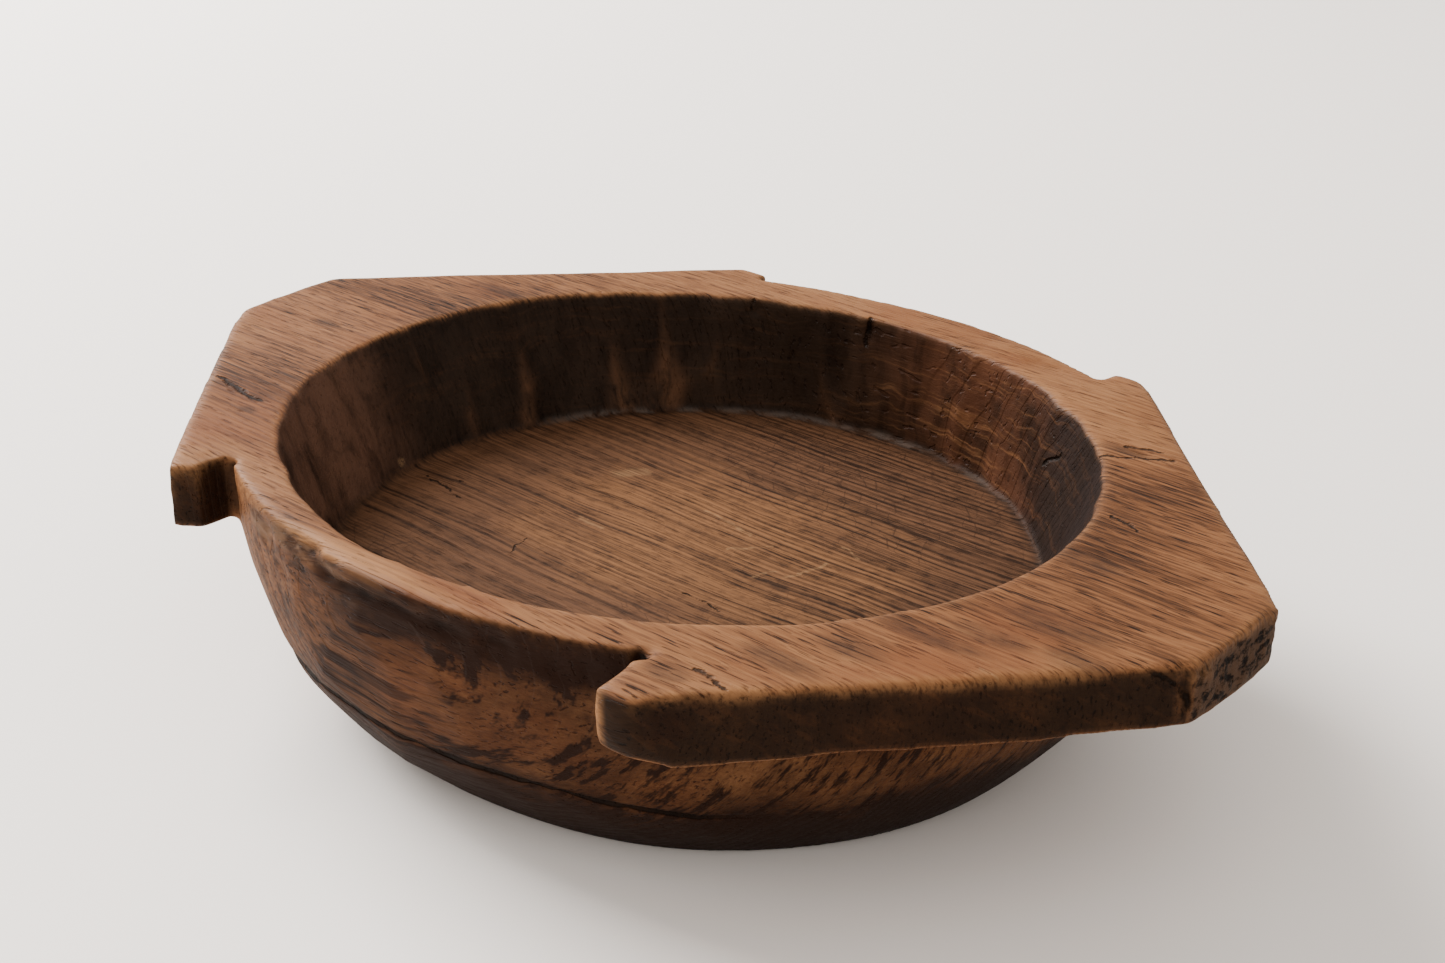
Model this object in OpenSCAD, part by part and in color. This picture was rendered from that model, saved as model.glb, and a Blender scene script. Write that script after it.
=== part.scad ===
// Carved wooden bowl with two wide handle plates.
// The real bowl is cut from one block, with the grain running along X.
// Its regions are drawn as solids that meet face to face: floor, wall and two handles.
// Millimetres, +Z up, +X along the bowl through both handles, origin under the middle of the base.

/* [Overall] */
// Length over both handle plates
length = 520; // [450:5:700]
// Height from the table to the rim
height = 110; // [85:1:140]

/* [Well] */
// Length of the well's mouth, along the bowl
mouth_length = 355; // [290:1:370]
// Width of the well's mouth, across the bowl
mouth_width = 313; // [250:1:350]
// How far the well's wall leans outwards at the handles, from the floor to the mouth
end_lean = 25; // [5:0.5:40]
// How far the well's wall leans outwards at the front and back, from the floor to the mouth
side_lean = 5; // [1:0.5:25]
// Depth of the well from the rim to the floor
well_depth = 56; // [35:1:70]
// Radius worn on the well's edge
mouth_round = 5; // [2:0.5:8]
// How far the well's middle sits towards the left handle
well_left = 2; // [0:0.5:8]
// How far the well's middle sits towards the front
well_front = 5; // [0:0.5:8]

/* [Wall] */
// Mean flat width of the rim at the sides, past the worn edge
side_rim = 17.5; // [10:0.5:30]
// Mean flat width of the rim where it runs into a handle, past the worn edge
end_rim = 32; // [20:0.5:40]
// How far the outside draws in below the handles, from the rim to the base
end_tuck = 56; // [30:1:90]
// How far the outside draws in at the front and back, from the rim to the base
side_tuck = 38.5; // [15:0.5:70]
// How full the wall is below the handles: 1 is straight, more is rounder
end_fullness = 1.9; // [1:0.1:4]
// How full the wall is at the sides: 1 is straight, more is rounder
side_fullness = 3.6; // [1:0.1:4]

/* [Handles] */
// Thickness of each handle plate over the middle of the bowl
handle_thickness = 31; // [24:1:40]
// Thickness of each handle plate at its cut end
handle_end_thickness = 25; // [18:1:40]
// Width of the cut end of each handle
handle_end_width = 57; // [40:1:90]
// How far each handle's end sits off the long axis, towards the front
handle_end_shift = 8; // [0:1:15]
// Radius on the handle plates' corners
corner_round = 6; // [3:0.5:6.5]

/* [Horns] */
// How far the right handle's front horn stops short of the bowl's side
right_front_short = 3; // [0:0.5:20]
// Distance from the middle of the bowl to that horn's inner face
right_front_start = 117; // [95:1:135]
// How far the right handle's back horn stops short of the bowl's side
right_back_short = 7; // [0:0.5:20]
// Distance from the middle of the bowl to that horn's inner face
right_back_start = 98; // [90:1:135]
// How far the left handle's front horn stops short of the bowl's side
left_front_short = 17; // [0:0.5:20]
// Distance from the middle of the bowl to that horn's inner face
left_front_start = 126; // [95:1:135]
// How far the left handle's back horn stops short of the bowl's side
left_back_short = 13; // [0:0.5:20]
// Distance from the middle of the bowl to that horn's inner face
left_back_start = 100; // [90:1:135]
// Width of each horn's blunt tip
horn_tip = 15; // [14:1:26]

/* [Hidden] */

around = 96;      // points round each ring
wall_rings = 12;  // steps up the outside of the wall
heel_rings = 3;   // of those, the steps that belong to the floor's underside
edge_steps = 4;   // steps round the worn edge of the well
core = 20;        // how far a handle plate's outline reaches into the bowl before it is trimmed
through = 1;      // how far a trimming solid runs past the rim

wood = [0.36, 0.22, 0.12];
worn_wood = [0.46, 0.29, 0.16];

// Half sizes [along X, along Y] of the rings that the shapes share
mouth_half = [mouth_length, mouth_width] / 2;
floor_half = mouth_half - [end_lean, side_lean];
rim_half = mouth_half + [mouth_round + end_rim, mouth_round + side_rim];
base_half = rim_half - [end_tuck, side_tuck];
fullness = [end_fullness, side_fullness];
floor_z = height - well_depth;
well_middle = [-well_left, -well_front];

// One elliptical ring of points at height z, about a middle that need not be the origin
function ring(half, z, middle = [0, 0]) = [
    for (i = [0:around - 1])
        let (a = 360 * i / around)
        [middle[0] + half[0] * cos(a), middle[1] + half[1] * sin(a), z]
];

// Half size k (0 along X, 1 along Y) of the outside at a share t of the height
function outside_half(k, t) =
    base_half[k] + (rim_half[k] - base_half[k]) * (1 - pow(1 - t, fullness[k]));

// The outside's ring at step i of the wall
function outside_ring(i) =
    let (t = i / wall_rings)
    ring([outside_half(0, t), outside_half(1, t)], height * t);

// The worn edge's ring at step i, from the wall of the well up to the flat of the rim
function edge_ring(i) =
    let (a = 90 * i / edge_steps, out = mouth_round * (1 - cos(a)))
    ring(mouth_half + [out, out], height - mouth_round * (1 - sin(a)), well_middle);

// The ring where the well's wall meets its floor
function floor_ring() = ring(floor_half, floor_z, well_middle);

// Faces between ring r and ring s of a list of rings
function band(r, s) = [
    for (i = [0:around - 1])
        let (j = (i + 1) % around)
        [r * around + i, s * around + i, s * around + j, r * around + j]
];

function flattened(lists) = [for (list = lists) each list];

// A solid through rings that run upwards, closed by a flat face at each end
module stack(rings) {
    n = len(rings);
    sides = flattened([for (r = [0:n - 2]) band(r, r + 1)]);
    bottom = [for (i = [0:around - 1]) i];
    top = [for (i = [around - 1:-1:0]) (n - 1) * around + i];
    polyhedron(flattened(rings), concat(sides, [bottom, top]), convexity = 4);
}

// A solid through rings that run round a closed loop, such as up the outside and down the inside
module hoop(rings) {
    n = len(rings);
    sides = flattened([for (r = [0:n - 1]) band(r, (r + 1) % n)]);
    polyhedron(flattened(rings), sides, convexity = 6);
}

// The slab under the well, with the flat that the bowl stands on
module floor() {
    color(wood)
        stack(concat([for (i = [0:heel_rings]) outside_ring(i)], [floor_ring()]));
}

// The wall and rim, from the floor's edge to the top
module wall() {
    outside = [for (i = [heel_rings:wall_rings]) outside_ring(i)];
    inside = [for (i = [edge_steps:-1:0]) edge_ring(i)];
    color(wood)
        hoop(concat(outside, inside, [floor_ring()]));
}

// The whole outside of the bowl, used to trim the handle plates to the wall
module bowl_outside() {
    stack(concat(
        [for (i = [0:wall_rings]) outside_ring(i)],
        [ring(rim_half, height + through)]
    ));
}

// Plan of a handle plate: a blunt wedge that widens to a horn each side.
// front and back are a horn's [how far it stops short of the bowl's side, start of its inner face].
module handle_plan(front, back) {
    end_x = length / 2;
    front_y = front[0] - rim_half[1];
    back_y = rim_half[1] - back[0];
    half_end = handle_end_width / 2;
    offset(r = corner_round, $fn = 32) offset(delta = -corner_round)
        polygon([
            [end_x, -handle_end_shift - half_end],
            [end_x, -handle_end_shift + half_end],
            [back[1] + horn_tip, back_y],
            [back[1], back_y],
            [back[1], core],
            [front[1], -core],
            [front[1], front_y],
            [front[1] + horn_tip, front_y]
        ]);
}

// Side view of a handle plate: level on top, thinning towards the end underneath
module handle_side() {
    polygon([
        [0, height],
        [0, height - handle_thickness],
        [length / 2, height - handle_end_thickness],
        [length / 2, height]
    ]);
}

// A handle plate that points along +X, cut to fit the outside of the bowl
module handle(front, back) {
    color(worn_wood)
        difference() {
            intersection() {
                translate([0, 0, height - handle_thickness])
                    linear_extrude(handle_thickness) handle_plan(front, back);
                translate([0, length / 2, 0]) rotate([90, 0, 0])
                    linear_extrude(length) handle_side();
            }
            bowl_outside();
        }
}

module right_handle() {
    handle(
        front = [right_front_short, right_front_start],
        back = [right_back_short, right_back_start]
    );
}

module left_handle() {
    mirror([1, 0, 0]) handle(
        front = [left_front_short, left_front_start],
        back = [left_back_short, left_back_start]
    );
}

floor();
wall();
right_handle();
left_handle();
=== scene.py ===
"""A shallow bowl carved from one block of dark, worn wood, with a wide handle plate at each end.

The block is carved whole, aged and marked, and only then parted into the four regions that the frame
names: floor, wall, right handle and left handle. Metres throughout, with the grain running along X.
"""

import math

import bmesh
import bpy
import numpy as np
from mathutils import Matrix, Vector, kdtree, noise


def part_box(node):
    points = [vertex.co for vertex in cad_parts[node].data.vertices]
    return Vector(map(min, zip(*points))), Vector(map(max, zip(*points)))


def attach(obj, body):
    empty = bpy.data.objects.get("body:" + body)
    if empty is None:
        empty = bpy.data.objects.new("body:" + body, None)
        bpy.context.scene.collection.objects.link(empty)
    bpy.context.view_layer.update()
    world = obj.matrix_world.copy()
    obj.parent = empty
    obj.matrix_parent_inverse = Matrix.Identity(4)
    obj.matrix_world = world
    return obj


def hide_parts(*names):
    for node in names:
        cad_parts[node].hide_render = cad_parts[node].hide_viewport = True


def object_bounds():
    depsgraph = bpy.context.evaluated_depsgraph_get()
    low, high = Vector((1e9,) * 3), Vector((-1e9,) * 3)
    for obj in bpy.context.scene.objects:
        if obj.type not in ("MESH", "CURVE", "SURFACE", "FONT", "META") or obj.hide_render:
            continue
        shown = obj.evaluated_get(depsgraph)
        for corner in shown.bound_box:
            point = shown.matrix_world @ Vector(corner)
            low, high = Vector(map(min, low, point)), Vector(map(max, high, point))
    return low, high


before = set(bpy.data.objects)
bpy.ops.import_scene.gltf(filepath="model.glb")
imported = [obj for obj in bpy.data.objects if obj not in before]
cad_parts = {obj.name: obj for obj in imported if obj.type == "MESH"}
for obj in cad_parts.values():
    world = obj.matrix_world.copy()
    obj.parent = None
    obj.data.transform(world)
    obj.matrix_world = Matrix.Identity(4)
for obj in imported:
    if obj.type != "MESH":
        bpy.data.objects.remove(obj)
cad_low, cad_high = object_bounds()

MM = 0.001

# Sizes that the frame gives
HEIGHT = cad_high.z
END_X = cad_high.x
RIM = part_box("wall")[1]
FLOOR_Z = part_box("floor")[1].z
HEEL_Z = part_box("wall")[0].z
PLATE = {1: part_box("right_handle"), -1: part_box("left_handle")}

# Half sizes (along X, along Y) and middles of the shapes that make the block
BASE_HALF = (158.5 * MM, 140.5 * MM)
RIM_HALF = (RIM.x, RIM.y)
FULLNESS = (1.9, 3.6)
FLOOR_HALF = (152.5 * MM, 151.5 * MM)
MOUTH_HALF = (179 * MM, 158 * MM)
WELL_MIDDLE = (-2 * MM, -5 * MM)
OVERSHOOT = 8 * MM

# Handle plates; each front horn is its corners' (x, y) in millimetres, from the rim round to the tip
HANDLE_END_THICKNESS = 25 * MM
HANDLE_END_HALF = 28.5 * MM
HANDLE_END_Y = -8 * MM
FRONT_HORN = {1: ((113, -165), (112, -181), (130, -181)), -1: ((125, -150), (125, -162), (135, -169))}
BACK_START = {1: 98 * MM, -1: 100 * MM}
BACK_TIP = 15 * MM
HORN_CORNER = 1.5 * MM
HORN_CORNER_STEPS = 4
HANDLE_CORE = 20 * MM

ROUND_STEPS = 144
WALL_LEVELS = 16
VOXEL = 1.65 * MM


# ---------------------------------------------------------------- the block

def new_piece(name, bm):
    """Turns a bmesh into an object in the scene."""
    mesh = bpy.data.meshes.new(name)
    bm.to_mesh(mesh)
    bm.free()
    piece = bpy.data.objects.new(name, mesh)
    bpy.context.scene.collection.objects.link(piece)
    return piece


def oval_block(name, levels):
    """A closed block through level ovals, each (half length, half width, middle x, middle y, height)."""
    bm = bmesh.new()
    ring = bmesh.ops.create_circle(bm, cap_ends=True, segments=ROUND_STEPS, radius=1.0)["verts"]
    edges = list(bm.edges)
    now = (1.0, 1.0, 0.0, 0.0, 0.0)
    for count, level in enumerate(levels):
        if count:
            grown = bmesh.ops.extrude_edge_only(bm, edges=edges)["geom"]
            ring = [part for part in grown if isinstance(part, bmesh.types.BMVert)]
            edges = [part for part in grown if isinstance(part, bmesh.types.BMEdge)]
        stretch = Matrix.Diagonal((level[0] / now[0], level[1] / now[1], 1.0, 1.0))
        carry = Matrix.Translation(level[2:]) @ stretch @ Matrix.Translation([-v for v in now[2:]])
        bmesh.ops.transform(bm, matrix=carry, verts=ring)
        now = level
    bmesh.ops.edgeloop_fill(bm, edges=edges)
    bmesh.ops.recalc_face_normals(bm, faces=bm.faces)
    return new_piece(name, bm)


def outside_half(axis, share):
    """Half size of the bowl's outside along X (0) or Y (1), at a share of the height."""
    swell = 1.0 - (1.0 - share) ** FULLNESS[axis]
    return BASE_HALF[axis] + (RIM_HALF[axis] - BASE_HALF[axis]) * swell


def bowl_levels(proud=0.0, top=0.0):
    """The outside's ovals from the base to the rim, grown by proud and carried past the rim by top."""
    levels = []
    for step in range(WALL_LEVELS + 1):
        share = step / WALL_LEVELS
        half = [outside_half(axis, share) + proud for axis in (0, 1)]
        levels.append((*half, 0.0, 0.0, share * HEIGHT))
    if top:
        levels.append((*levels[-1][:4], HEIGHT + top))
    return levels


def well_block():
    """What is hollowed out: a flat floor and a wall that leans out to the mouth."""
    lift = (MOUTH_HALF[0] - FLOOR_HALF[0], MOUTH_HALF[1] - FLOOR_HALF[1])
    past = OVERSHOOT / (HEIGHT - FLOOR_Z)
    mouth = [MOUTH_HALF[axis] + lift[axis] * past for axis in (0, 1)]
    return oval_block("well", [
        (*FLOOR_HALF, *WELL_MIDDLE, FLOOR_Z),
        (*MOUTH_HALF, *WELL_MIDDLE, HEIGHT),
        (*mouth, *WELL_MIDDLE, HEIGHT + OVERSHOOT),
    ])


def handle_block(side):
    """A blunt wedge with a horn front and back, level on top and thinning outwards underneath."""
    low, high = PLATE[side]
    horn = [(x * MM, y * MM) for x, y in FRONT_HORN[side]]
    back_start = BACK_START[side]
    outline = [
        (END_X, HANDLE_END_Y - HANDLE_END_HALF),
        (END_X, HANDLE_END_Y + HANDLE_END_HALF),
        (back_start + BACK_TIP, high.y),
        (back_start, high.y),
        (back_start, HANDLE_CORE),
        (horn[0][0], -HANDLE_CORE),
        *horn,
    ]
    bm = bmesh.new()
    under = bm.faces.new([bm.verts.new((side * x, y, low.z)) for x, y in outline])
    grown = bmesh.ops.extrude_face_region(bm, geom=[under])["geom"]
    upper = [part for part in grown if isinstance(part, bmesh.types.BMVert)]
    bmesh.ops.translate(bm, vec=(0.0, 0.0, HEIGHT - low.z), verts=upper)
    thin = [v for v in bm.verts if abs(v.co.x) > END_X - MM and v.co.z < low.z + MM]
    bmesh.ops.translate(bm, vec=(0.0, 0.0, HEIGHT - HANDLE_END_THICKNESS - low.z), verts=thin)
    corners = [e for e in bm.edges if abs((e.verts[0].co - e.verts[1].co).normalized().z) > 0.99
               and abs(abs(e.verts[0].co.y) - HANDLE_CORE) > 0.1 * MM]
    bmesh.ops.bevel(bm, geom=corners, offset=HORN_CORNER, offset_type="OFFSET", segments=HORN_CORNER_STEPS,
                    profile=0.5, affect="EDGES", material=-1)
    bmesh.ops.recalc_face_normals(bm, faces=bm.faces)
    return new_piece("plate", bm)


def with_modifier(piece, kind, **settings):
    """Adds a modifier to a piece, keeps its result as the piece's mesh and removes the modifier."""
    modifier = piece.modifiers.new(kind, kind)
    for name, value in settings.items():
        setattr(modifier, name, value)
    bpy.context.view_layer.update()
    made = piece.evaluated_get(bpy.context.evaluated_depsgraph_get())
    mesh = bpy.data.meshes.new_from_object(made)
    piece.modifiers.remove(modifier)
    piece.data = mesh
    return piece


def combine(piece, other, operation, solver="EXACT"):
    """Joins a piece with another, cuts it by the other, or keeps what they share."""
    return with_modifier(piece, "BOOLEAN", object=other, operation=operation, solver=solver)


def rough_block():
    """The bowl and its handles joined and hollowed, as an even skin of small faces ready to carve."""
    block = oval_block("block", bowl_levels())
    for tool, operation in ((handle_block(1), "UNION"), (handle_block(-1), "UNION"),
                            (well_block(), "DIFFERENCE")):
        combine(block, tool, operation)
        bpy.data.objects.remove(tool)
    return with_modifier(block, "REMESH", mode="VOXEL", voxel_size=VOXEL, use_smooth_shade=True)


# ---------------------------------------------------------------- carving

def smoothstep(low, high, value):
    """0 up to low and 1 from high, smooth between; low may be the higher."""
    share = np.clip((value - low) / (high - low), 0.0, 1.0)
    return share * share * (3.0 - 2.0 * share)


def unevenness(points, scale, seed=0.0):
    """Smooth noise from about -1 to 1 at each point; scale is (x, y, z) lumps per metre."""
    spread = points * np.array(scale) + seed
    return np.array([noise.noise(p) for p in spread.tolist()])


def scallops(points, scale, seed=0.0):
    """Shallow tool cuts that meet in ridges: 0 at the bottom of a cut, about 1 on a ridge."""
    spread = points * np.array(scale) + seed
    return np.clip(np.array([noise.voronoi(p)[0][0] for p in spread.tolist()]) ** 2, 0.0, 1.0)


class Carving:
    """The block's skin as arrays that the carving works on."""

    def __init__(self, piece):
        self.piece = piece
        mesh = piece.data
        self.points = np.zeros(len(mesh.vertices) * 3)
        mesh.vertices.foreach_get("co", self.points)
        self.points = self.points.reshape(-1, 3)
        edges = np.zeros(len(mesh.edges) * 2, int)
        mesh.edges.foreach_get("vertices", edges)
        self.edges = edges.reshape(-1, 2)
        self.near = np.bincount(self.edges.ravel(), minlength=len(self.points)).clip(1)
        self.refresh()

    def refresh(self):
        """Writes the points back and reads the directions that the skin faces."""
        mesh = self.piece.data
        mesh.vertices.foreach_set("co", self.points.ravel())
        mesh.update()
        facing = np.zeros(len(mesh.vertices) * 3)
        mesh.vertices.foreach_get("normal", facing)
        self.facing = facing.reshape(-1, 3)

    def averaged(self, values):
        """Each point's value averaged over its neighbours."""
        a, b = self.edges.T
        columns = values.reshape(len(values), -1)
        total = np.zeros_like(columns)
        for k in range(columns.shape[1]):
            total[:, k] = (np.bincount(a, columns[b, k], len(columns))
                           + np.bincount(b, columns[a, k], len(columns)))
        return (total / self.near[:, None]).reshape(values.shape)

    def spread(self, values, reach):
        """Values blurred over about that reach, in metres."""
        for _ in range(max(1, round(4.0 * (reach / VOXEL) ** 2))):
            values = 0.5 * (values + self.averaged(values))
        return values

    def ease(self, reach, share=1.0):
        """Rounds edges off by about that reach, fully where share is 1."""
        share = np.broadcast_to(share, len(self.points))[:, None]
        for _ in range(max(1, round(4.0 * (reach / VOXEL) ** 2))):
            self.points += 0.5 * share * (self.averaged(self.points) - self.points)
        self.refresh()

    def raise_by(self, amount):
        """Moves the skin out along the way it faces, or in where the amount is negative."""
        self.points += self.facing * amount[:, None]
        self.refresh()

    def around(self, middle, reach):
        """1 at a place, falling smoothly to 0 at that reach along X, Y and Z."""
        far = (((self.points - np.array(middle) * MM) / (np.array(reach) * MM)) ** 2).sum(1)
        return np.clip(1.0 - far, 0.0, 1.0) ** 2


def outside_share(points):
    """How far out each point is: 1 on the bowl's outside, more on the handles."""
    share = np.clip(points[:, 2] / HEIGHT, 0.0, 1.0)
    return np.hypot(points[:, 0] / outside_half(0, share), points[:, 1] / outside_half(1, share))


def well_share(points):
    """How far out each point is in the well: 1 on its wall."""
    rise = np.clip((points[:, 2] - FLOOR_Z) / (HEIGHT - FLOOR_Z), 0.0, 1.0)
    half = [FLOOR_HALF[axis] + (MOUTH_HALF[axis] - FLOOR_HALF[axis]) * rise for axis in (0, 1)]
    return np.hypot((points[:, 0] - WELL_MIDDLE[0]) / half[0], (points[:, 1] - WELL_MIDDLE[1]) / half[1])


def regions(carving):
    """A share from 0 to 1 for each kind of surface at every point."""
    points, facing = carving.points, carving.facing
    up, level = facing[:, 2], np.abs(facing[:, 2])
    top = smoothstep(0.55, 0.85, up) * smoothstep(HEIGHT - 9 * MM, HEIGHT - 4 * MM, points[:, 2])
    in_well = smoothstep(1.06, 1.02, well_share(points))
    in_well = in_well * smoothstep(FLOOR_Z - 4 * MM, FLOOR_Z - MM, points[:, 2])
    floor = in_well * smoothstep(0.6, 0.9, up) * smoothstep(FLOOR_Z + 5 * MM, FLOOR_Z + 2 * MM, points[:, 2])
    well_wall = in_well * (1.0 - floor) * (1.0 - top)
    handle = (1.0 - in_well) * smoothstep(1.008, 1.02, outside_share(points))
    upright = smoothstep(0.75, 0.5, level)
    endmost = smoothstep(END_X - 6 * MM, END_X - 2 * MM, np.abs(points[:, 0]))
    end = handle * upright * endmost * smoothstep(0.75, 0.9, np.abs(facing[:, 0]))
    side = handle * upright * (1.0 - end)
    outer = (1.0 - in_well) * (1.0 - handle) * (1.0 - top)
    return {"top": top, "floor": floor, "well_wall": well_wall, "end": end, "side": side,
            "outer": outer, "handle": handle}


# The drying crack on the front wall: its height, and how far it drops over each stretch of X
CRACK_Z = 40 * MM
CRACK_DROPS = ((6 * MM, 0.07, 0.125), (5 * MM, -0.06, -0.17))
CRACK_DEPTH, CRACK_WIDTH = 0.9 * MM, 1.1 * MM
CRACK_LIP, CRACK_LIP_REACH = 0.5 * MM, (-22 * MM, -6 * MM)


def crack_height(x):
    """Height of the drying crack at each place along the bowl."""
    return CRACK_Z - sum(drop * smoothstep(start, end, x) for drop, start, end in CRACK_DROPS)


# Where the horns leave the rim, left sharp by the carver (millimetres)
NOTCHES = ((110, -152, 96), (-118, -148, 96), (92, 160, 96), (-96, 158, 96))

# Places rubbed rounder by use: middle, reach, and how round (millimetres)
WORN_ROUND = (
    ((118, -178, 92), (24, 20, 36), 6.0),
    ((130, -182, 80), (22, 14, 16), 6.0),
    ((-60, -174, 110), (100, 20, 16), 3.6),
    ((106, 168, 96), (18, 16, 30), 3.5),
    ((258, -36, 98), (14, 14, 26), 3.0),
    ((258, 20, 98), (12, 14, 26), 3.0),
    ((-258, -36, 98), (20, 20, 26), 4.0),
)

# Torn, gouged and dented places: middle, reach, and depth (millimetres)
LOSSES = (
    ((-120, -149, 96), (5, 5, 34), 2.5),
    ((113, -154, 96), (6, 6, 34), 3.0),
    ((-47, -176, 106), (38, 9, 7), 3.0),
    ((-20, -179, 100), (26, 8, 4), 2.4),
    ((6, -180, 101), (26, 8, 4), 2.2),
    ((35, -178, 100), (20, 8, 5), 2.0),
    ((-75, -166, 98), (12, 9, 9), 1.6),
    ((-62, -166, 88), (10, 9, 6), 1.3),
    ((58, -171, 99), (12, 8, 9), 1.8),
    ((84, -162, 97), (22, 9, 9), 1.8),
    ((-24, 151, 104), (3, 8, 9), 1.3),
    ((-82, 134, 105), (4, 8, 5), 1.0),
    ((-144, 90, 108), (4, 6, 4), 1.0),
    ((152, 102, 110), (10, 3, 3), 0.9),
    ((-130, -152, 108), (5, 6, 5), 1.2),
    ((-165, 84, 110), (8, 4, 4), 0.8),
    ((70, 158, 110), (30, 10, 5), 1.1),
    ((256, -38, 99), (3, 5, 14), 1.8),
)


# How deep each kind of tool cut goes, and the share of it that lies under the skin
GOUGE_DEPTH = 2.2 * MM
BROAD_DEPTH = 1.9 * MM
SLANT_DEPTH = 0.5 * MM
UNDER_DEPTH = 1.1 * MM
CUT_LEVEL = 0.4

# How far the skin waves, from the whole outline down to the grain on the cut ends
OUTLINE_WAVE = 0.9 * MM
TOP_WAVE = 0.45 * MM
FLOOR_WAVE = 0.25 * MM
END_WAVE = 0.9 * MM
END_GRAIN = 0.5 * MM
GOUGE_WANDER = 3 * MM

# How round every edge is eased, and how far round a notch it stays sharp (millimetres)
EDGE_EASE = 1.7 * MM
NOTCH_REACH = (24, 22, 40)


def ease_edges(carving):
    """Eases every edge, and rubs the rim and the horns rounder where hands have been."""
    height = carving.points[:, 2]
    notches = np.maximum.reduce([carving.around(middle, NOTCH_REACH) for middle in NOTCHES])
    heel = smoothstep(6 * MM, 2 * MM, height)
    corner = smoothstep(7 * MM, 3 * MM, np.abs(height - FLOOR_Z)) * (well_share(carving.points) < 1.05)
    crisp = np.maximum.reduce([0.9 * np.sqrt(notches), heel, 0.9 * corner])
    carving.ease(EDGE_EASE, 1.0 - 0.8 * crisp)
    for middle, reach, amount in WORN_ROUND:
        carving.ease(amount * MM, np.sqrt(carving.around(middle, reach)) * (1.0 - 0.5 * crisp))


def cut_tool_marks(carving, found):
    """Upright gouge strokes in the well, broad cuts outside, slanting ones on the plates' sides."""
    points = carving.points
    height = points[:, 2]
    turn = np.arctan2(points[:, 1], points[:, 0]) * RIM_HALF[1]
    around_wall = np.stack([turn, height, 0.0 * turn], 1)
    wander = GOUGE_WANDER * unevenness(points, (18, 18, 40), 5.0)[:, None]
    gouges = scallops(around_wall + wander, (42, 13, 1), 3.1)
    carving.ridge = smoothstep(0.45, 0.85, gouges)
    broad = scallops(around_wall, (30, 34, 1), 8.7)
    slant = np.stack([turn + height, turn - height, 0.0 * turn], 1)
    slanting = scallops(slant, (110, 26, 1), 1.3)
    under = scallops(points, (34, 34, 10), 6.2)
    below_rim = smoothstep(0, 12 * MM, height) * smoothstep(104 * MM, 90 * MM, height)
    facing_down = smoothstep(-0.5, -0.8, carving.facing[:, 2])
    carving.raise_by(
        found["well_wall"] * GOUGE_DEPTH * (gouges - CUT_LEVEL)
        + found["outer"] * BROAD_DEPTH * (broad - CUT_LEVEL) * below_rim
        + found["side"] * SLANT_DEPTH * (slanting - CUT_LEVEL)
        + found["handle"] * facing_down * UNDER_DEPTH * (under - CUT_LEVEL)
        + found["top"] * TOP_WAVE * unevenness(points, (30, 55, 20), 2.0)
        + found["floor"] * FLOOR_WAVE * unevenness(points, (14, 60, 10), 4.0)
        + found["end"] * (END_WAVE * unevenness(points, (60, 150, 190), 9.0)
                          + END_GRAIN * unevenness(points, (60, 420, 420), 7.0))
    )


def take_losses(carving):
    """A torn patch on the rim at the left front, gouges under it, and dents round the rim."""
    torn = 1.0 + 0.7 * unevenness(carving.points, (120, 260, 260), 1.0)
    for middle, reach, depth in LOSSES:
        carving.raise_by(-depth * MM * carving.around(middle, reach) * torn)


def open_crack(carving, found):
    """The drying crack low on the front, with the wood under it standing a little proud."""
    x, y, z = carving.points.T
    above = z - crack_height(x)
    along = smoothstep(-0.19, -0.15, x) * smoothstep(0.14, 0.11, x) * (y < 0.0) * found["outer"]
    lip = smoothstep(CRACK_LIP, -CRACK_LIP, above) * smoothstep(*CRACK_LIP_REACH, above)
    carving.raise_by(along * (CRACK_LIP * lip - CRACK_DEPTH * np.exp(-(above / CRACK_WIDTH) ** 2)))


def carve(piece):
    """Rounds, marks and ages the block."""
    carving = Carving(piece)
    carving.raise_by(OUTLINE_WAVE * unevenness(carving.points, (11, 11, 14)))
    ease_edges(carving)
    found = regions(carving)
    cut_tool_marks(carving, found)
    take_losses(carving)
    open_crack(carving, found)
    return carving


def surface_record(carving):
    """What the finish needs to know at each point: the kind of surface, and the edges and hollows."""
    found = regions(carving)
    swell = ((carving.points - carving.spread(carving.points.copy(), 3.2 * MM)) * carving.facing).sum(1)
    swell = carving.spread(swell, 1.2 * MM)
    found["edge"] = smoothstep(0.12 * MM, 0.9 * MM, swell)
    found["hollow"] = smoothstep(0.1 * MM, 0.8 * MM, -swell)
    x, y, z = carving.points.T
    reach = np.hypot((well_share(carving.points) - 1.0) * FLOOR_HALF[0], z - FLOOR_Z)
    found["corner"] = smoothstep(3.2 * MM, 1.0 * MM, reach)
    along = smoothstep(-0.19, -0.15, x) * smoothstep(0.135, 0.115, x)
    found["crack"] = along * (y < 0.0) * found["outer"]
    found["ridge"] = carving.ridge
    return {name: carving.spread(value, 1.0 * MM) for name, value in found.items()}


# ---------------------------------------------------------------- parting into regions

# How far the cutters stand clear: outside the bowl, past the floor's edge, and at the well's corner
CUTTER_PROUD = 2.2 * MM
CUTTER_REACH = 60 * MM
SEAM = 0.6 * MM


def part(whole, name, cutters):
    """A copy of the whole block, cut by each (cutter, operation) in turn."""
    piece = bpy.data.objects.new(name, whole.data.copy())
    bpy.context.scene.collection.objects.link(piece)
    for cutter, operation in cutters:
        combine(piece, cutter, operation, solver="MANIFOLD")
    return piece


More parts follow.
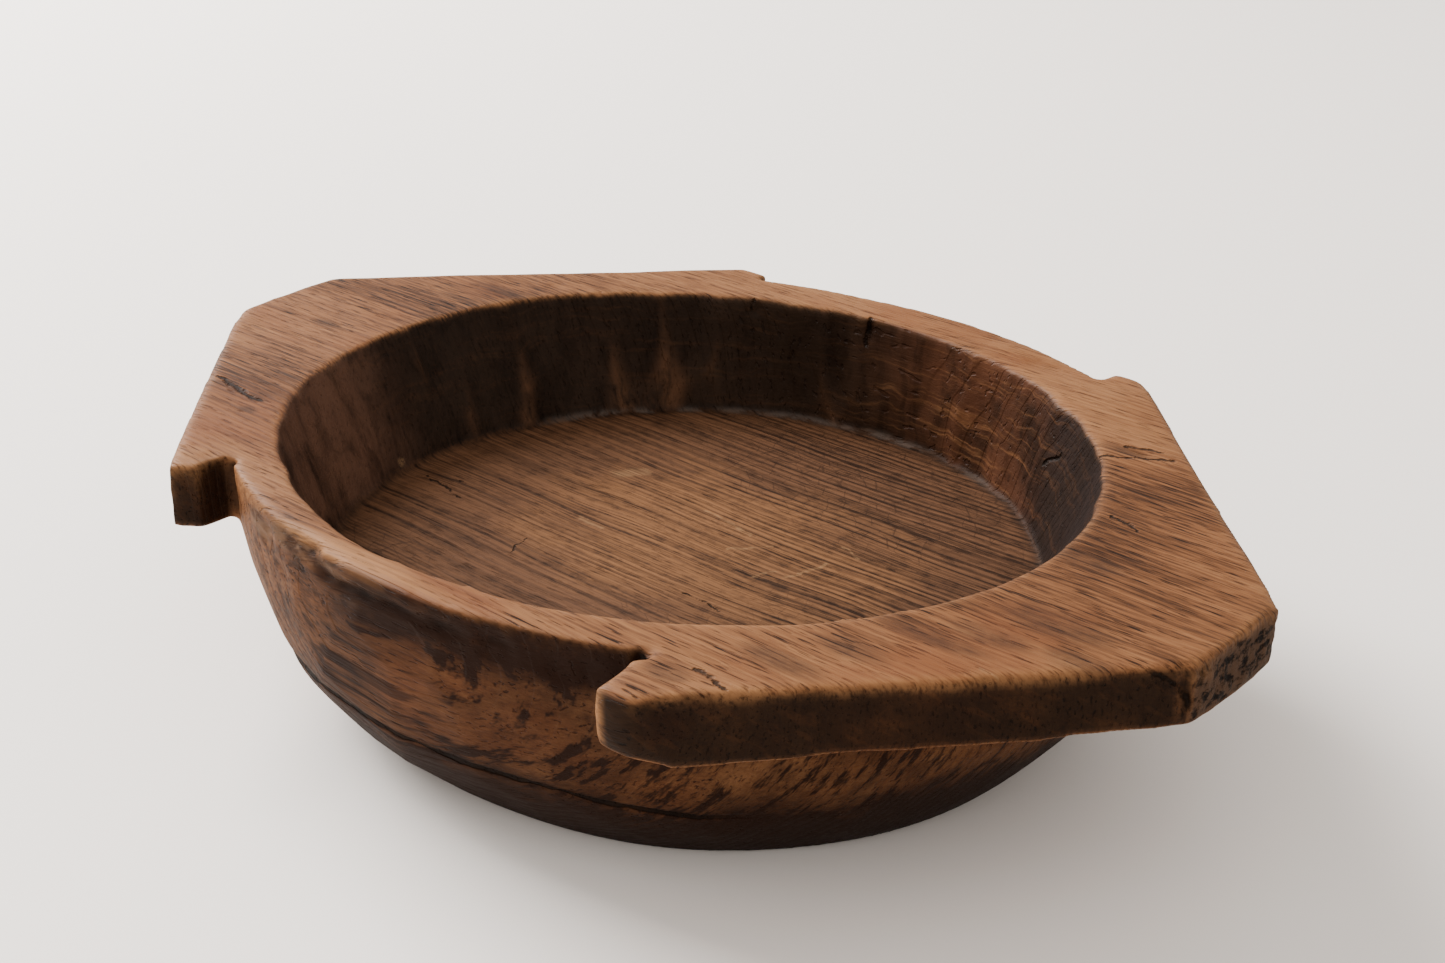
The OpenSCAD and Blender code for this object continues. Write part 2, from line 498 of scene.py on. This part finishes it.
def side_slab(side):
    """A block that covers everything on one side of the middle."""
    bm = bmesh.new()
    bmesh.ops.create_cube(bm, size=1.0)
    bmesh.ops.translate(bm, vec=(0.5 * side, 0.0, 0.0), verts=bm.verts)
    return new_piece("slab", bm)


def finish_skin(piece, carving, record, finder):
    """Gives a parted piece the whole block's shading and surface record, so that no seam shows."""
    mesh = piece.data
    nearest = [finder.find(v.co)[1] for v in mesh.vertices]
    for polygon in mesh.polygons:
        polygon.use_smooth = True
    mesh.normals_split_custom_set_from_vertices(carving.facing[nearest].tolist())
    for name, values in record.items():
        layer = mesh.attributes.new(name, "FLOAT", "POINT")
        layer.data.foreach_set("value", values[nearest].astype(np.float32))


def parted(carving):
    """The four regions as closed pieces that meet face to face."""
    whole = carving.piece
    record = surface_record(carving)
    finder = kdtree.KDTree(len(carving.points))
    for index, point in enumerate(carving.points):
        finder.insert(point, index)
    finder.balance()

    below = (*BASE_HALF, 0.0, 0.0, -OVERSHOOT)
    bowl = oval_block("bowl_cutter", [below] + bowl_levels(CUTTER_PROUD, OVERSHOOT))
    slope = (HEEL_Z - FLOOR_Z) / (RIM_HALF[1] - FLOOR_HALF[1])
    outer = [FLOOR_HALF[axis] + CUTTER_REACH for axis in (0, 1)]
    inner = [FLOOR_HALF[axis] + SEAM for axis in (0, 1)]
    slab = oval_block("floor_cutter", [
        (*outer, *WELL_MIDDLE, -OVERSHOOT),
        (*outer, *WELL_MIDDLE, FLOOR_Z + CUTTER_REACH * slope),
        (*inner, *WELL_MIDDLE, FLOOR_Z + SEAM),
    ])
    right, left = side_slab(1), side_slab(-1)
    pieces = {
        "floor": part(whole, "floor_carved", [(slab, "INTERSECT")]),
        "wall": part(whole, "wall_carved", [(slab, "DIFFERENCE"), (bowl, "INTERSECT")]),
        "right_handle": part(whole, "right_handle_carved", [(bowl, "DIFFERENCE"), (right, "INTERSECT")]),
        "left_handle": part(whole, "left_handle_carved", [(bowl, "DIFFERENCE"), (left, "INTERSECT")]),
    }
    for piece in pieces.values():
        finish_skin(piece, carving, record, finder)
    for tool in (bowl, slab, right, left, whole):
        bpy.data.objects.remove(tool)
    return pieces


# ---------------------------------------------------------------- finish

class Value:
    """A number in a material, worked with as in ordinary sums."""

    def __init__(self, finish, socket):
        self.finish, self.socket = finish, socket

    def __add__(self, other):
        return self.finish.maths("ADD", self, other)

    def __radd__(self, other):
        return self.finish.maths("ADD", other, self)

    def __sub__(self, other):
        return self.finish.maths("SUBTRACT", self, other)

    def __rsub__(self, other):
        return self.finish.maths("SUBTRACT", other, self)

    def __mul__(self, other):
        return self.finish.maths("MULTIPLY", self, other)

    def __rmul__(self, other):
        return self.finish.maths("MULTIPLY", other, self)

    def __truediv__(self, other):
        return self.finish.maths("DIVIDE", self, other)

    def __rtruediv__(self, other):
        return self.finish.maths("DIVIDE", other, self)

    def __pow__(self, other):
        return self.finish.maths("POWER", self, other)

    def __abs__(self):
        return self.finish.maths("ABSOLUTE", self)


class Finish:
    """One material and the nodes that make it."""

    def __init__(self, name):
        self.material = bpy.data.materials.new(name)
        self.material.use_nodes = True
        self.tree = self.material.node_tree
        self.tree.nodes.clear()
        self.place = self.node("ShaderNodeTexCoord", out="Object")

    def node(self, kind, settings=None, sockets=None, out=0):
        """Adds a node, sets it up, feeds its sockets and returns one output."""
        made = self.tree.nodes.new(kind)
        for name, value in (settings or {}).items():
            if name == "stops":
                ramp = made.color_ramp
                while len(ramp.elements) < len(value):
                    ramp.elements.new(0.5)
                for element, (position, colour) in zip(ramp.elements, value):
                    element.position, element.color = position, (*colour, 1.0)
            else:
                setattr(made, name, value)
        for name, value in (sockets or {}).items():
            if isinstance(value, Value):
                self.tree.links.new(value.socket, made.inputs[name])
            else:
                made.inputs[name].default_value = value
        return Value(self, made.outputs[out])

    def done(self, shader):
        """Puts a shader on the surface and returns the material."""
        output = self.tree.nodes.new("ShaderNodeOutputMaterial")
        self.tree.links.new(shader.socket, output.inputs["Surface"])
        return self.material

    def maths(self, operation, *values):
        return self.node("ShaderNodeMath", {"operation": operation}, dict(enumerate(values)))

    def parts(self, place):
        """The X, Y and Z of a place."""
        split = self.node("ShaderNodeSeparateXYZ", None, {0: place}).socket.node
        return [Value(self, socket) for socket in split.outputs]

    def joined(self, *parts):
        return self.node("ShaderNodeCombineXYZ", None, dict(enumerate(parts)))

    def vector(self, operation, first, second, out=0):
        return self.node("ShaderNodeVectorMath", {"operation": operation}, {0: first, 1: second}, out)

    def stretched(self, place, scale):
        return self.vector("MULTIPLY", place, scale)

    def shifted(self, place, scale, reach, detail=3.0, roughness=0.6):
        """A place moved about by soft noise, at most half of reach along X, Y and Z."""
        wander = self.cloud(place, scale, detail, roughness, "Color")
        wander = self.vector("SUBTRACT", wander, (0.5, 0.5, 0.5))
        return self.vector("ADD", place, self.stretched(wander, reach))

    def most(self, values):
        """The greatest of several values."""
        found, *others = values
        for value in others:
            found = self.maths("MAXIMUM", found, value)
        return found

    def spot(self, x, y, middle, reach):
        """1 at a place seen from above, falling to 0 at its reach."""
        across, away = ((value - at * MM) / (size * MM) for value, at, size in zip((x, y), middle, reach))
        return self.step(across ** 2.0 + away ** 2.0, 1.0, 0.0)

    def patch(self, place, middle, reach):
        """1 at a place on the wood, falling to 0 at its reach along X, Y and Z."""
        off = self.vector("SUBTRACT", place, tuple(v * MM for v in middle))
        off = self.vector("DIVIDE", off, tuple(v * MM for v in reach))
        return self.step(self.node("ShaderNodeVectorMath", {"operation": "LENGTH"}, {0: off}, 1), 1.0, 0.35)

    def line(self, place, start, stop, half_width):
        """1 along a line from start to stop, falling to 0 at twice its half width."""
        start, stop = Vector(start) * MM, Vector(stop) * MM
        run = stop - start
        off = self.vector("SUBTRACT", place, tuple(start))
        share = self.clamp(self.vector("DOT_PRODUCT", off, tuple(run / run.length_squared), 1))
        back = self.node("ShaderNodeVectorMath", {"operation": "SCALE"}, {0: tuple(run), 3: share})
        gap = self.node("ShaderNodeVectorMath", {"operation": "DISTANCE"}, {0: off, 1: back}, 1)
        return self.step(gap, 2.0 * half_width * MM, 0.5 * half_width * MM)

    def cloud(self, place, scale, detail=2.0, roughness=0.5, out="Fac"):
        """Soft noise, 0 to 1, with that many lumps per metre along X, Y and Z."""
        return self.node("ShaderNodeTexNoise", None, {
            "Vector": self.stretched(place, scale), "Scale": 1.0, "Detail": detail,
            "Roughness": roughness}, out)

    def cell_edges(self, place, scale):
        """How far each place is from the nearest edge between cells, with that many cells per metre."""
        return self.node("ShaderNodeTexVoronoi", {"feature": "DISTANCE_TO_EDGE"}, {
            "Vector": self.stretched(place, scale), "Scale": 1.0}, "Distance")

    def step(self, value, low, high):
        """0 up to low and 1 from high, smooth between; low may be the higher."""
        return self.node("ShaderNodeMapRange", {"interpolation_type": "SMOOTHSTEP"}, {
            "Value": value, "From Min": low, "From Max": high})

    def clamp(self, value):
        return self.node("ShaderNodeClamp", None, {"Value": value})

    def mix(self, share, first, second):
        """Colour mixed from first to second by a share."""
        return self.node("ShaderNodeMix", {"data_type": "RGBA"}, {0: share, 6: first, 7: second}, 2)

    def ramp(self, value, stops):
        return self.node("ShaderNodeValToRGB", {"stops": stops}, {"Fac": value}, "Color")

    def record(self, name):
        """What the carving noted about the surface under that name."""
        return self.node("ShaderNodeAttribute", {"attribute_name": name}, None, "Fac")


def rgb(red, green, blue):
    return (red, green, blue, 1.0)


# Colours of the wood, from the deepest to the palest
NEAR_BLACK = rgb(0.0035, 0.0018, 0.001)
DEEP = rgb(0.012, 0.004, 0.0016)
STAIN = rgb(0.018, 0.010, 0.007)
# Painted shade: the colour of the well's wall where it is turned from the window
SHADED_WALL = rgb(0.020, 0.0112, 0.0068)
BROWN_WALL = rgb(0.100, 0.047, 0.028)
RED_WALL = rgb(0.066, 0.024, 0.0115)
PURPLE_WALL = rgb(0.009, 0.0060, 0.0054)
SIDE_BROWN = rgb(0.038, 0.014, 0.005)
TORN_GREY = rgb(0.105, 0.060, 0.034)
RED_TINT = rgb(0.140, 0.045, 0.016)
FLOOR_DARK = rgb(0.018, 0.0078, 0.0038)
FLOOR_BROWN = rgb(0.092, 0.041, 0.020)
FLOOR_GOLD = rgb(0.165, 0.073, 0.030)
OPEN_GRAIN = rgb(0.055, 0.030, 0.018)
RESIDUE = rgb(0.15, 0.12, 0.10)
# Pale rubbed wood, also the colour of painted highlight on edges and on the rim
RUBBED_AND_SHEEN = rgb(0.270, 0.125, 0.050)
SCRATCH = rgb(0.27, 0.15, 0.07)
TOP_STOPS = [(0.10, (0.008, 0.0032, 0.0015)), (0.34, (0.062, 0.0240, 0.0095)),
             (0.56, (0.152, 0.0610, 0.0240)), (0.90, (0.225, 0.1020, 0.0420))]

# Where the rings' centre lies: in front of the block, so that the grain is straight on top and on the
# floor, and curves in arches on the front wall
PITH_Y, PITH_Z = -0.38, 0.088
RING = 4.0 * MM

# Dark smudges on the plates' tops, (x, y) and reach in millimetres
SMUDGES = (
    ((208, -44), (30, 13)), ((190, 5), (20, 8)), ((180, -80), (30, 8)), ((196, -66), (22, 9)),
    ((232, -62), (22, 9)), ((152, -128), (22, 8)),
    ((148, 100), (16, 5)), ((-170, -102), (18, 3.5)), ((-156, -112), (7, 4)), ((-213, -22), (12, 5)),
    ((-178, 62), (28, 6)), ((128, -158), (12, 8)), ((-190, 40), (20, 4)), ((165, -105), (20, 8)),
)

# Grey torn wood on the rim; black smears, partly painted shadow under the rim's front edge and in the horns'
# notches; and places rubbed golden, partly painted highlight: middle and reach in millimetres
TORN = (((-56, -174, 104), (28, 12, 8)), ((-84, -164, 99), (18, 11, 9)), ((-30, -178, 102), (16, 10, 5)))
SMEARS_AND_UNDERCUT_SHADE = (
    ((-124, -155, 92), (10, 15, 32)), ((-124, -152, 96), (7, 10, 24)),
    ((-18, -176, 98), (24, 12, 3)), ((14, -177, 98), (24, 12, 4)), ((44, -174, 97), (18, 12, 5)),
    ((140, -172, 99), (12, 12, 10)), ((150, -166, 108), (14, 10, 6)), ((-66, -168, 95), (16, 9, 4)),
    ((90, -160, 99), (22, 14, 7)),
)
# Places rubbed golden are partly painted highlight, on the right horn's lit side and on the rim's front edge
RUBBED_AND_HIGHLIT_SPOTS = (((113, -176, 96), (9, 15, 22)), ((-20, -172, 109), (90, 7, 5)))

# Fine cracks, from and to (x, y, z) and half width in millimetres
CRACKS = (
    ((140, 88, 110), (168, 104, 110), 0.7), ((146, 104, 110), (160, 108, 110), 0.6),
    ((176, 44, 110), (190, 40, 110), 0.6), ((248, -50, 110), (256, -41, 101), 0.8),
    ((256, -41, 101), (260, -34, 90), 1.0), ((-196, -98, 110), (-160, -103, 110), 0.8),
    ((-142, -28, 54), (-112, -33, 54), 0.4), ((-130, -20, 54), (-108, -24, 54), 0.3),
    ((-61, -42, 54), (-56, -56, 54), 0.3), ((20, -33, 54), (46, -36, 54), 0.4),
    ((99, 118, 83), (109, 113, 92), 0.8), ((-24, 150, 96), (-25, 153, 110), 0.9),
    ((-82, 132, 100), (-83, 136, 110), 0.8), ((134, -150, 110), (150, -154, 110), 0.7),
)

# Pale scratches, from and to (x, y, z) and half width in millimetres
SCRATCHES = (
    ((12, 8, 54), (24, 22, 54), 0.6), ((36, -4, 54), (40, 6, 54), 0.6), ((47, 4, 54), (52, 26, 54), 0.6),
    ((46, 44, 54), (60, 38, 54), 0.5), ((-57, -12, 54), (-43, -13, 54), 1.0),
    ((-77, 34, 54), (-70, 42, 54), 3.0), ((30, -66, 54), (62, -40, 54), 0.6),
    ((-20, 30, 54), (10, 24, 54), 0.6), ((-155, -31, 58), (-152, -29, 58), 1.3),
    ((206, -88, 110), (215, -88, 110), 0.8),
)


class AgedWood(Finish):
    """Dark old wood: fine grain along X, rubbed golden on top and on edges, where the edges' paleness is
    partly painted highlight, and near black on the sides, partly as painted shade.
    """

    def __init__(self):
        super().__init__("aged_wood")
        self.x, self.y, self.z = self.parts(self.place)
        self.top, self.floor, self.wall = (self.record(name) for name in ("top", "floor", "well_wall"))
        self.end, self.side, self.outer = (self.record(name) for name in ("end", "side", "outer"))
        self.edge, self.hollow = self.record("edge"), self.record("hollow")
        self.set_grain()
        self.set_patches()
        colour = self.grain_colour()
        colour = self.mix(self.floor, colour, self.floor_colour())
        # The outside darkened by painted shade, with its blotches and grain lines
        colour = self.mix(self.outer * self.outer_shade_and_mottling(), colour, DEEP)
        colour = self.mix(self.wall, colour, self.wall_colour(colour))
        # Painted shade in part: the plates' sides, turned from the window, made nearly black
        colour = self.mix(self.side * 0.94, colour, self.side_colour())
        colour = self.mix(self.end, colour, self.end_colour())
        colour = self.pale_edges_and_dark_hollows(colour)
        colour = self.stains_and_painted_light(colour)
        crack = self.cracks()
        colour = self.mix(crack * 0.85, colour, NEAR_BLACK)
        colour = self.scratched(colour)
        relief = (self.fibres * 0.3 + self.streaks * 0.4 - 0.6 * self.pores - 0.9 * self.checks
                  - 0.3 * self.late - 2.0 * crack - 0.5 * self.ragged * self.end)
        bump = self.node("ShaderNodeBump", None, {
            "Strength": 0.8, "Distance": 0.0009, "Height": relief}, "Normal")
        roughness = self.clamp(0.62 + 0.3 * (self.fibres - 0.5) + 0.08 * self.floor - 0.14 * self.edge
                               - 0.10 * self.wall + 0.2 * self.end)
        self.done(self.node("ShaderNodeBsdfPrincipled", None, {
            "Base Color": colour, "Roughness": roughness, "Normal": bump,
            "Specular IOR Level": 0.05}, "BSDF"))

    def set_grain(self):
        """Fibres, rings, pores and drying checks, in layers round the rings' centre."""
        grain = self.shifted(self.place, (5, 11, 11), (0.0, 0.016, 0.016), 2.0, 0.5)
        along, across, up = self.parts(grain)
        radius = ((across - PITH_Y) ** 2.0 + (up - PITH_Z) ** 2.0) ** 0.5
        turn = self.maths("ARCTAN2", up - PITH_Z, across - PITH_Y)
        self.layers = self.joined(along, radius, turn * 0.25)
        self.fibres = self.cloud(grain, (38, 900, 900), 3.0, 0.7)
        self.streaks = self.cloud(self.layers, (15, 640, 300), 3.0, 0.65)
        self.bands = self.cloud(self.layers, (3, 90, 40), 3.0, 0.6)
        self.clouds = self.cloud(self.place, (7, 10, 10), 3.0, 0.5)
        self.pores = self.step(self.cloud(self.layers, (75, 1150, 500), 1.0), 0.62, 0.72)
        self.checks = self.step(self.cloud(self.layers, (22, 560, 160), 3.0, 0.6)
                                + 0.14 * (self.clouds - 0.5), 0.67, 0.76)
        ring = self.maths("FRACT", radius / RING)
        self.late = self.step(ring, 0.35, 0.9) * self.step(ring, 1.0, 0.92)

    def set_patches(self):
        """Uneven patches of several sizes that the colours below share."""
        self.lumps = self.cloud(self.place, (17, 24, 24), 4.0, 0.6)
        self.blotch = self.step(self.lumps, 0.36, 0.62)
        self.chips = self.step(self.cloud(self.place, (50, 90, 120), 4.0, 0.65), 0.38, 0.66)
        self.patchy = self.step(self.cloud(self.place, (60, 120, 120), 4.0, 0.65), 0.32, 0.68)
        self.ragged = self.cloud(self.place, (120, 160, 260), 4.0, 0.7)
        # A straight line drawn on shaken places comes out ragged
        self.shaken = self.shifted(self.place, (130, 130, 130), (0.007, 0.007, 0.004))

    def grain_colour(self):
        """The plain wood, darker in its pores and checks, tinted red here and there."""
        tone = (0.60 + 0.72 * (self.streaks - 0.5) + 1.05 * (self.fibres - 0.5) + 0.60 * (self.bands - 0.5)
                + 1.1 * (self.clouds - 0.5) - 0.34 * self.pores - 0.40 * self.checks - 0.05 * self.late
                - 0.07 * self.step(self.x, -0.10, -0.18))
        tint = self.step(self.cloud(self.place, (9, 14, 14), 3.0, 0.55), 0.50, 0.68)
        return self.mix(tint * 0.5, self.ramp(self.clamp(tone), TOP_STOPS), RED_TINT)

    def floor_colour(self):
        """The floor's grain stands out as dark lines, most even at the right and back."""
        x, y = self.x, self.y
        even = self.step(x + 0.6 * y, -0.03, 0.09)
        wild = self.step(self.cloud(self.layers, (3.5, 420, 90), 2.0, 0.6), 0.42, 0.62)
        fine = self.step(self.cloud(self.layers, (6, 700, 200), 3.0, 0.6), 0.46, 0.62)
        lines = self.clamp(0.50 * self.late * even + (0.36 - 0.10 * even) * wild + 0.44 * fine
                           + 0.3 * self.pores + 0.3 * self.checks)
        far = (x / 0.10) ** 2.0 + ((y - 0.01) / 0.075) ** 2.0
        golden = self.step(far + 2.4 * (self.lumps - 0.5), 1.3, 0.0)
        mottle = self.step(self.cloud(self.place, (110, 190, 100), 4.0, 0.65), 0.46, 0.66)
        crazed = self.step(self.cell_edges(self.place, (95, 150, 95)), 0.035, 0.0)
        crazed = crazed * self.step(self.clouds, 0.45, 0.62)
        colour = self.mix(golden * 0.9 + 0.1, FLOOR_BROWN, FLOOR_GOLD)
        colour = self.mix(self.clamp(lines + 0.26 * mottle), colour, FLOOR_DARK)
        return self.mix(crazed * 0.55, colour, FLOOR_DARK)

    def outer_shade_and_mottling(self):
        """The outside is brown at the left and blotched in the middle, with painted shade: darker towards the
        right and back, away from the window, darkest low down where the wall turns under, and a painted
        shadow under the rim.
        """
        x, y, z = self.x, self.y, self.z
        # Painted shade: darker low down, where the wall turns in towards the base
        low = self.step(z, 0.062, 0.006)
        # Painted shade: darker towards the right and the back, turned from the window
        across = self.most((self.step(x, -0.13, -0.01), self.step(y, -0.05, 0.04)))
        # Painted shadow just under the overhanging rim, from the middle to the right
        under = self.step(z, 0.080, 0.096) * self.step(x, -0.05, 0.02)
        lines = self.step(self.cloud(self.layers, (5, 330, 70), 3.0, 0.65), 0.50, 0.64)
        return self.clamp(0.50 * across + (0.15 + 0.38 * across) * low + 0.42 * under
                          + (0.04 + 0.16 * across) * self.blotch + 0.13 * self.chips * across + 0.36 * lines)

    def wall_colour(self, wood):
        """The well's wall is near black at the left as painted shade, where it turns from the window, and
        red-brown at the right, rubbed brown on its ridges.
        """
        x, y = self.x, self.y
        loose = self.shifted(self.place, (30, 30, 30), (0.022, 0.022, 0.016))
        strands = self.cloud(loose, (16, 16, 330), 3.0, 0.65)
        upright = self.cloud(loose, (110, 110, 14), 3.0, 0.65)
        warm = self.step(x, -0.05, 0.04) * self.step(y, -0.03, 0.03)
        # Painted shade: all but the right and back of the wall take the near-black shaded colour
        colour = self.mix(warm, SHADED_WALL, RED_WALL)
        colour = self.mix(self.step(y, 0.0, -0.06) * self.step(x, -0.06, -0.12), colour, BROWN_WALL)
        colour = self.mix(self.step(x, 0.07, 0.11) * 0.95, colour, PURPLE_WALL)
        colour = self.mix(self.blotch * 0.5 + 0.35 * self.step(upright, 0.45, 0.65), colour, NEAR_BLACK)
        threads = self.step(strands, 0.50, 0.72) * (0.08 + 0.38 * warm * self.step(x, 0.12, 0.08))
        colour = self.mix(0.03 + threads, colour, wood)
        ridge = self.record("ridge") * self.step(upright, 0.3, 0.6) * self.step(x, 0.02, -0.04)
        return self.mix(ridge * 0.8, colour, FLOOR_BROWN)

    def side_colour(self):
        """The plates' sides are nearly black, partly dark wood and partly painted shade, as they turn from
        the window, with brown showing through.
        """
        x, y, z = self.x, self.y, self.z
        strokes = self.cloud(self.joined(x + z, y * 0.4, (x - z) * 0.16), (220, 220, 220), 2.0)
        brown = 0.75 * self.step(self.lumps, 0.50, 0.74) * self.fibres + 0.24 * self.step(strokes, 0.52, 0.66)
        return self.mix(self.clamp(brown), NEAR_BLACK, SIDE_BROWN)

    def end_colour(self):
        """Cut ends are grey, open and pitted."""
        return self.mix(self.step(self.ragged, 0.46, 0.60), OPEN_GRAIN, NEAR_BLACK)

    def pale_edges_and_dark_hollows(self, colour):
        """Pale upper edges, partly polished by handling and partly painted highlight, and darkened hollows.
        """
        # Painted highlight in part: upper edges mixed towards the pale rubbed colour
        polish_and_highlight = (self.edge * (1.0 - 0.75 * self.wall) * self.step(self.z, 0.088, 0.103)
                  * self.step(self.streaks, 0.25, 0.6) * self.step(self.lumps, 0.35, 0.6))
        colour = self.mix(polish_and_highlight * 0.5, colour, RUBBED_AND_SHEEN)
        # Hollows are darkened
        return self.mix(self.hollow * 0.75, colour, NEAR_BLACK)

    def stains_and_painted_light(self, colour):
        """Smudges on top, torn and smeared wood on the rim with painted shadow under its edge and in the
        notches, and places rubbed golden with painted highlight in part.
        """
        smudge = self.most(self.spot(self.x, self.y, *entry) for entry in SMUDGES)
        torn, smear_and_shade, rubbed_and_highlit = (self.most(self.patch(self.place, *entry) for entry in entries)
                               for entries in (TORN, SMEARS_AND_UNDERCUT_SHADE, RUBBED_AND_HIGHLIT_SPOTS))
        colour = self.mix(smudge * (0.45 + 0.55 * self.patchy) * self.top * 0.62, colour, STAIN)
        colour = self.mix(torn * 0.75, colour, self.mix(self.chips, TORN_GREY, DEEP))
        # Painted shadow in part: black under the rim's front edge and in the horns' notches
        colour = self.mix(smear_and_shade * (0.5 + 0.5 * self.patchy) * 0.62, colour, DEEP)
        # Painted highlight in part: the rubbed golden spots
        return self.mix(rubbed_and_highlit * (0.35 + 0.45 * self.step(self.streaks, 0.35, 0.6)), colour, RUBBED_AND_SHEEN)

    def cracks(self):
        """1 in the fine cracks and in the long drying crack, whose width comes and goes."""
        fine = self.most(self.line(self.shaken, *entry) for entry in CRACKS)
        above = self.z - CRACK_Z
        for drop, start, end in CRACK_DROPS:
            above = above + drop * self.step(self.x, start, end)
        above = above + 0.004 * (self.cloud(self.place, (45, 45, 45), 3.0, 0.6) - 0.5)
        opening = 0.0004 + 0.0014 * self.step(self.cloud(self.place, (28, 28, 0), 2.0), 0.30, 0.60)
        drying = self.record("crack") * self.step(abs(above) / opening, 1.0, 0.4)
        return self.most((fine, drying))

    def scratched(self, colour):
        """Pale scratches, and the dry residue along the floor's back corner."""
        scratch = self.most(self.line(self.shaken, *entry) for entry in SCRATCHES)
        colour = self.mix(scratch * 0.4 * self.step(self.fibres, 0.3, 0.6), colour, SCRATCH)
        dry = (self.record("corner") * self.step(self.y, 0.03, 0.08) * self.step(self.x, 0.08, 0.03)
               * self.step(self.patchy, 0.15, 0.8))
        return self.mix(dry * 0.3, colour, RESIDUE)


# ---------------------------------------------------------------- stage

GROUND_SIZE = 9.0
GROUND_Z = -0.3 * MM
GROUND_COLOUR = rgb(0.93, 0.85, 0.78)

# Area lights: name, place, size and power
LIGHTS = (
    ("window", (-2.7, 0.10, 1.95), 2.0, 345.0),
    ("room", (0.4, -1.7, 1.6), 2.2, 16.0),
)
ROOM_COLOUR, ROOM_STRENGTH = rgb(1.0, 0.97, 0.94), 1.05

VIEW_TARGET = (-0.1109, 0.1456, 0.0)
VIEW_AZIMUTH, VIEW_PITCH, VIEW_ROLL = 40.9, 25.03, 0.25
VIEW_DISTANCE = 1.1209
VIEW_LENS = 53.95


def lay_ground():
    """A plain pale floor under the bowl."""
    bm = bmesh.new()
    bmesh.ops.create_grid(bm, x_segments=1, y_segments=1, size=GROUND_SIZE / 2)
    bmesh.ops.translate(bm, vec=(0.0, 0.0, GROUND_Z), verts=bm.verts)
    ground = new_piece("ground", bm)
    pale = Finish("pale_ground")
    shader = pale.node("ShaderNodeBsdfPrincipled", None, {
        "Base Color": GROUND_COLOUR, "Roughness": 0.7}, "BSDF")
    ground.data.materials.append(pale.done(shader))


def place_in_scene(item, place, turn):
    """Adds a light or the camera to the scene, at a place and turned."""
    item.location = place
    item.rotation_mode = "QUATERNION"
    item.rotation_quaternion = turn
    bpy.context.scene.collection.objects.link(item)


def set_lights():
    """A large window to the left, a little light from the front, and soft light all round."""
    for name, place, size, power in LIGHTS:
        light = bpy.data.lights.new(name, "AREA")
        light.size, light.energy = size, power
        towards_bowl = (-Vector(place)).to_track_quat("-Z", "Y")
        place_in_scene(bpy.data.objects.new(name, light), place, towards_bowl)
    world = bpy.data.worlds.new("room_light")
    world.use_nodes = True
    background = world.node_tree.nodes["Background"].inputs
    background["Color"].default_value = ROOM_COLOUR
    background["Strength"].default_value = ROOM_STRENGTH
    bpy.context.scene.world = world


def set_camera():
    """The camera, at the front right and a little above, looking down at the bowl."""
    azimuth, pitch = math.radians(VIEW_AZIMUTH), math.radians(VIEW_PITCH)
    level = math.cos(pitch)
    back = Vector((math.sin(azimuth) * level, -math.cos(azimuth) * level, math.sin(pitch)))
    roll = Matrix.Rotation(math.radians(VIEW_ROLL), 4, "Z").to_quaternion()
    camera = bpy.data.objects.new("camera", bpy.data.cameras.new("camera"))
    camera.data.lens = VIEW_LENS
    towards_bowl = (-back).to_track_quat("-Z", "Y")
    place_in_scene(camera, Vector(VIEW_TARGET) + back * VIEW_DISTANCE, towards_bowl @ roll)
    bpy.context.scene.camera = camera


lay_ground()
set_lights()
set_camera()
wood = AgedWood().material
pieces = parted(carve(rough_block()))
for node, piece in pieces.items():
    piece.data.materials.clear()
    piece.data.materials.append(wood)
    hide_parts(node)
    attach(piece, "root")
